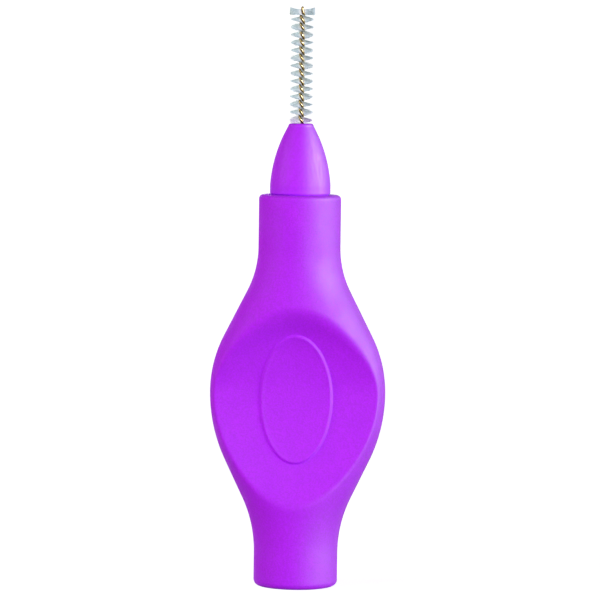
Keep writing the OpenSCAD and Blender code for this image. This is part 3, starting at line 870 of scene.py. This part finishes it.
class BRUSH_OT_filaments(bpy.types.Operator):
    """Builds the fans of nylon filaments, one for each half turn of the wire"""
    bl_idname = "brush.filaments"
    bl_label = "Filament fans"

    sides = 6
    joints = 7
    core_share = 0.12
    cut_share = 0.99
    cut_taper = 0.55
    fan_share = 0.47
    tip_start = 0.05
    tip_lift = 0.2
    tip_splay = 0.85
    root_splay = 0.45
    least_gather, most_gather = (-0.5, 0.1), (-0.05, 0.35)
    # Spreads of the small irregularities, of a whole fan and of one filament.
    wear_spread = 0.01
    height_spread = 0.006
    turn_spread = 0.03
    reach_spread = 0.012
    bend_spread = 0.02
    swing_spread = 0.025

    def filament(self, rng, z, lift, turn, splay, reach, radius):
        """One filament from tip to tip through the wire, as rings of points.

        The lift and the reach are pairs, for the left and the right of the wire.
        """
        shares = np.concatenate([-np.linspace(1, self.core_share, self.joints),
                                 np.linspace(self.core_share, 1, self.joints)])
        left = shares < 0
        lift = np.where(left, *lift)
        reaches = np.where(left, *(reach * (1 + rng.normal(0, self.reach_spread, 2))))
        bend = np.where(left, *rng.normal(0, self.bend_spread, 2))
        swing = np.where(left, *rng.normal(0, self.swing_spread, 2))
        turns = turn + splay * np.abs(shares) + swing * shares ** 2 * np.sign(shares)
        r = shares * reaches
        height = z + (lift + bend) * shares ** 2
        centres = np.stack([r * np.cos(turns), r * np.sin(turns), height], axis=1)
        tangents = unit(np.gradient(centres, axis=0))
        side = unit(np.cross(tangents, np.array([0.0, 0.0, 1.0])))
        top = np.cross(side, tangents)
        radii = radius * np.where(np.abs(shares) > self.cut_share, self.cut_taper, 1.0)
        return tube_points(centres, radii, side, top, self.sides)

    def levels(self, index, count, radius, shape):
        """Heights of the filaments of one fan. The fan at the tip ends under the bight."""
        if index == 0:
            return np.linspace(shape.fade_z + self.tip_start, shape.bight_z - radius, count)
        middle = shape.tip_fan_z - index * shape.fan_pitch
        half = shape.fan_pitch * self.fan_share
        return np.linspace(middle - half, middle + half, count)

    def fan(self, index, rng, settings, shape, material):
        node, count = FAN_NODES[index], settings.levels
        is_tip, is_root = index == 0, index == len(FAN_NODES) - 1
        radius = settings.filament_d / MM / 2
        zs = self.levels(index, count, radius, shape)
        centre = (zs[0] + zs[-1]) / 2
        gather = rng.uniform(self.least_gather, self.most_gather)
        width = settings.tip_fan_d if is_tip else settings.brush_d
        reach = width / MM / 2 * (1 - np.abs(rng.normal(0, self.wear_spread, 2)))
        points, faces = [], []
        rings = 2 * self.joints
        for k, z in enumerate(zs):
            lift = gather * (centre - z)
            if is_tip:
                lift = np.full(2, self.tip_lift * (k / (count - 1)) ** 2)
            z += rng.normal(0, self.height_spread)
            turn = float(shape.filament_angle(np.array(z))) + rng.normal(0, self.turn_spread)
            splay = -self.tip_splay * turn if is_tip else 0.0
            if is_root and z < centre:
                splay = -self.root_splay * wrapped(turn)
            first = len(points) * rings * self.sides
            points.append(self.filament(rng, z, lift, turn, splay, reach, radius))
            faces += [tuple(reversed(face)) for face in tube_faces(rings, self.sides, first)]
        obj = new_object(fan_name(node), np.concatenate(points), faces)
        finish_piece(obj, [node], material)

    def execute(self, context):
        settings = context.scene.brush_filaments
        shape = WireShape(context.scene.brush_wire)
        rng = np.random.default_rng(settings.seed)
        material = nylon_material(settings.nylon, settings.painted_nose_glow)
        for index in range(len(FAN_NODES)):
            self.fan(index, rng, settings, shape, material)
        return {'FINISHED'}


class BRUSH_OT_stage(bpy.types.Operator):
    """Sets the pale backdrop, the soft studio light and the camera"""
    bl_idname = "brush.stage"
    bl_label = "Stage"

    backdrop_colour = (0.4, 0.4, 0.4)
    glow = (0.9, 1.0)
    glow_run_m = (0.1, 0.35)
    half_w, front, flat_to = 900.0, -700.0, 400.0
    bend_r, wall_top, bend_steps = 300.0, 900.0, 24
    lamp_aim_z = 28.0
    lamp_distance = 480.0
    room_light = ((0.97, 0.98, 1.0), 0.1)
    seen_white = ((1.0, 1.0, 1.0), 1.0)

    def backdrop_material(self):
        """Pale backdrop that reads as white to the eye and in reflections."""
        n = Nodes("pale_backdrop")
        noise = n.noise(size_mm=40.0, detail=2.0, roughness=0.5)
        n.colour(n.blotches(noise, CLOUDS, scaled(self.backdrop_colour, 0.99), self.backdrop_colour))
        n.set({"Roughness": 0.9, "Specular IOR Level": 0.0})
        away = n.add("ShaderNodeVectorMath", operation='LENGTH')
        n.join(n.place, "Object", away, 0)
        glow = n.fade(away, "Value", self.glow_run_m, self.glow)
        strength = n.add("ShaderNodeMath", operation='MULTIPLY')
        n.tree.links.new(seen_rays(n.tree), strength.inputs[0])
        n.join(glow, "Result", strength, 1)
        emission = n.add("ShaderNodeEmission")
        n.join(strength, "Value", emission, "Strength")
        both = n.add("ShaderNodeAddShader")
        n.join(n.shader, "BSDF", both, 0)
        n.join(emission, "Emission", both, 1)
        n.join(both, "Shader", n.output, "Surface")
        return n.material

    def backdrop(self):
        """Floor that curves up into a wall behind the brush."""
        bend = [(self.flat_to + self.bend_r * math.sin(t), self.bend_r * (1 - math.cos(t)))
                for t in np.linspace(0, math.pi / 2, self.bend_steps)]
        profile = [(self.front, 0.0), (self.front / 2, 0.0), (0.0, 0.0), (self.flat_to / 2, 0.0),
                   *bend, (self.flat_to + self.bend_r, self.wall_top)]
        points = [(x, y, z) for y, z in profile for x in (-self.half_w, self.half_w)]
        faces = [(2 * k, 2 * k + 1, 2 * k + 3, 2 * k + 2) for k in range(len(profile) - 1)]
        obj = new_object("backdrop", points, faces)
        obj.data.materials.append(self.backdrop_material())

    def world(self):
        """Dim room light, behind a white that the eye and reflections see."""
        world = bpy.data.worlds.new("studio")
        bpy.context.scene.world = world
        world.use_nodes = True
        tree = world.node_tree
        tree.nodes.clear()
        mix = tree.nodes.new("ShaderNodeMixShader")
        tree.links.new(seen_rays(tree), mix.inputs[0])
        for socket, (tint, strength) in ((1, self.room_light), (2, self.seen_white)):
            background = tree.nodes.new("ShaderNodeBackground")
            background.inputs["Color"].default_value = (*tint, 1.0)
            background.inputs["Strength"].default_value = strength
            tree.links.new(background.outputs[0], mix.inputs[socket])
        output = tree.nodes.new("ShaderNodeOutputWorld")
        tree.links.new(mix.outputs[0], output.inputs["Surface"])

    def softbox(self, name, turn, rise, width, height, watts, tint, distance=lamp_distance):
        """A lamp aimed at the brush, turned from the front towards +X and raised, in degrees."""
        light = bpy.data.lights.new(name, 'AREA')
        light.shape = 'RECTANGLE'
        light.size = width * MM
        light.size_y = height * MM
        light.energy = watts
        light.color = tint
        obj = bpy.data.objects.new(name, light)
        bpy.context.scene.collection.objects.link(obj)
        a, b = math.radians(turn), math.radians(rise)
        aim = Vector((0, 0, self.lamp_aim_z))
        place = Vector((distance * math.cos(b) * math.sin(a), -distance * math.cos(b) * math.cos(a),
                        self.lamp_aim_z + distance * math.sin(b)))
        obj.location = place * MM
        obj.rotation_euler = (aim - place).normalized().to_track_quat('-Z', 'Y').to_euler()
        return obj

    def only_for(self, lamp, name, pieces):
        """Lets a lamp shine on some of the pieces only."""
        group = bpy.data.collections.new(name)
        for piece in pieces:
            group.objects.link(bpy.data.objects[piece])
        lamp.light_linking.receiver_collection = group

    def lamps(self):
        """Two lamps for the colour, two for the gloss, and one that lights the back."""
        moulded = ("soft_handle", "bullet_nose")
        self.softbox("left", turn=-60, rise=20, width=420, height=300, watts=1.65, tint=(1.0, 1.0, 0.9))
        self.softbox("right", turn=45, rise=6, width=400, height=130, watts=2.06, tint=(0.91, 0.9, 1.0))
        sheen = self.softbox("sheen", turn=80, rise=18, width=520, height=300, watts=16.0,
                             tint=(0.97, 0.98, 1.0))
        glint = self.softbox("glint", turn=36, rise=22, width=90, height=90, watts=5.5,
                             tint=(1.0, 1.0, 0.98))
        sheen.visible_diffuse = glint.visible_diffuse = False
        self.only_for(sheen, "moulded_pieces", moulded)
        self.only_for(glint, "metal_pieces", ("gold_wire",))
        back = self.softbox("back", turn=180, rise=12, width=260, height=220, watts=1.2,
                            tint=(1.0, 1.0, 1.0), distance=420)
        back.visible_camera = back.visible_glossy = back.visible_transmission = False
        self.only_for(back, "all_pieces", (*moulded, "gold_wire", *map(fan_name, FAN_NODES)))

    def camera(self, stage):
        """Long lens at the photograph's viewing angle."""
        camera = bpy.data.cameras.new("view")
        obj = bpy.data.objects.new("view", camera)
        bpy.context.scene.collection.objects.link(obj)
        yaw = stage.eye_yaw
        place = Vector((stage.eye_distance * math.sin(yaw), -stage.eye_distance * math.cos(yaw),
                        stage.eye_height))
        aim = Vector((stage.aim_x * math.cos(yaw), stage.aim_x * math.sin(yaw), stage.aim_height))
        turn = (aim - place).normalized().to_track_quat('-Z', 'Y').to_matrix().to_4x4()
        obj.matrix_world = Matrix.Translation(place) @ turn @ Matrix.Rotation(stage.eye_roll, 4, 'Z')
        camera.sensor_fit = 'HORIZONTAL'
        camera.sensor_width = 36.0
        camera.lens = camera.sensor_width * stage.eye_distance / stage.view_height
        camera.clip_start = 0.01
        camera.clip_end = 10.0
        bpy.context.scene.camera = obj

    def execute(self, context):
        self.backdrop()
        self.world()
        self.lamps()
        self.camera(context.scene.brush_stage)
        context.scene.view_settings.view_transform = 'Standard'
        return {'FINISHED'}


class BRUSH_PT_panel(bpy.types.Panel):
    """Lists the pieces of the brush with their sizes and colours"""
    bl_idname = "BRUSH_PT_panel"
    bl_label = "Interdental Brush"
    bl_space_type = 'VIEW_3D'
    bl_region_type = 'UI'
    bl_category = "Brush"

    def draw(self, context):
        layout = self.layout
        for group, operator in PIECES:
            box = layout.box()
            box.operator(operator)
            settings = getattr(context.scene, group)
            for name in settings.__annotations__:
                box.prop(settings, name)


PIECES = (
    ("brush_handle", "brush.handle"),
    ("brush_nose", "brush.nose"),
    ("brush_wire", "brush.wire"),
    ("brush_filaments", "brush.filaments"),
    ("brush_stage", "brush.stage"),
)
SETTINGS = (HandleSettings, NoseSettings, WireSettings, FilamentSettings, StageSettings)
OPERATORS = (BRUSH_OT_handle, BRUSH_OT_nose, BRUSH_OT_wire, BRUSH_OT_filaments, BRUSH_OT_stage)


def register():
    for item in SETTINGS + OPERATORS + (BRUSH_PT_panel,):
        bpy.utils.register_class(item)
    for (group, _), settings in zip(PIECES, SETTINGS):
        setattr(bpy.types.Scene, group, PointerProperty(type=settings))


def unregister():
    for group, _ in PIECES:
        delattr(bpy.types.Scene, group)
    for item in reversed(SETTINGS + OPERATORS + (BRUSH_PT_panel,)):
        bpy.utils.unregister_class(item)


def main():
    register()
    bpy.ops.brush.handle()
    bpy.ops.brush.nose()
    bpy.ops.brush.wire()
    bpy.ops.brush.filaments()
    bpy.ops.brush.stage()


if __name__ == "__main__":
    main()
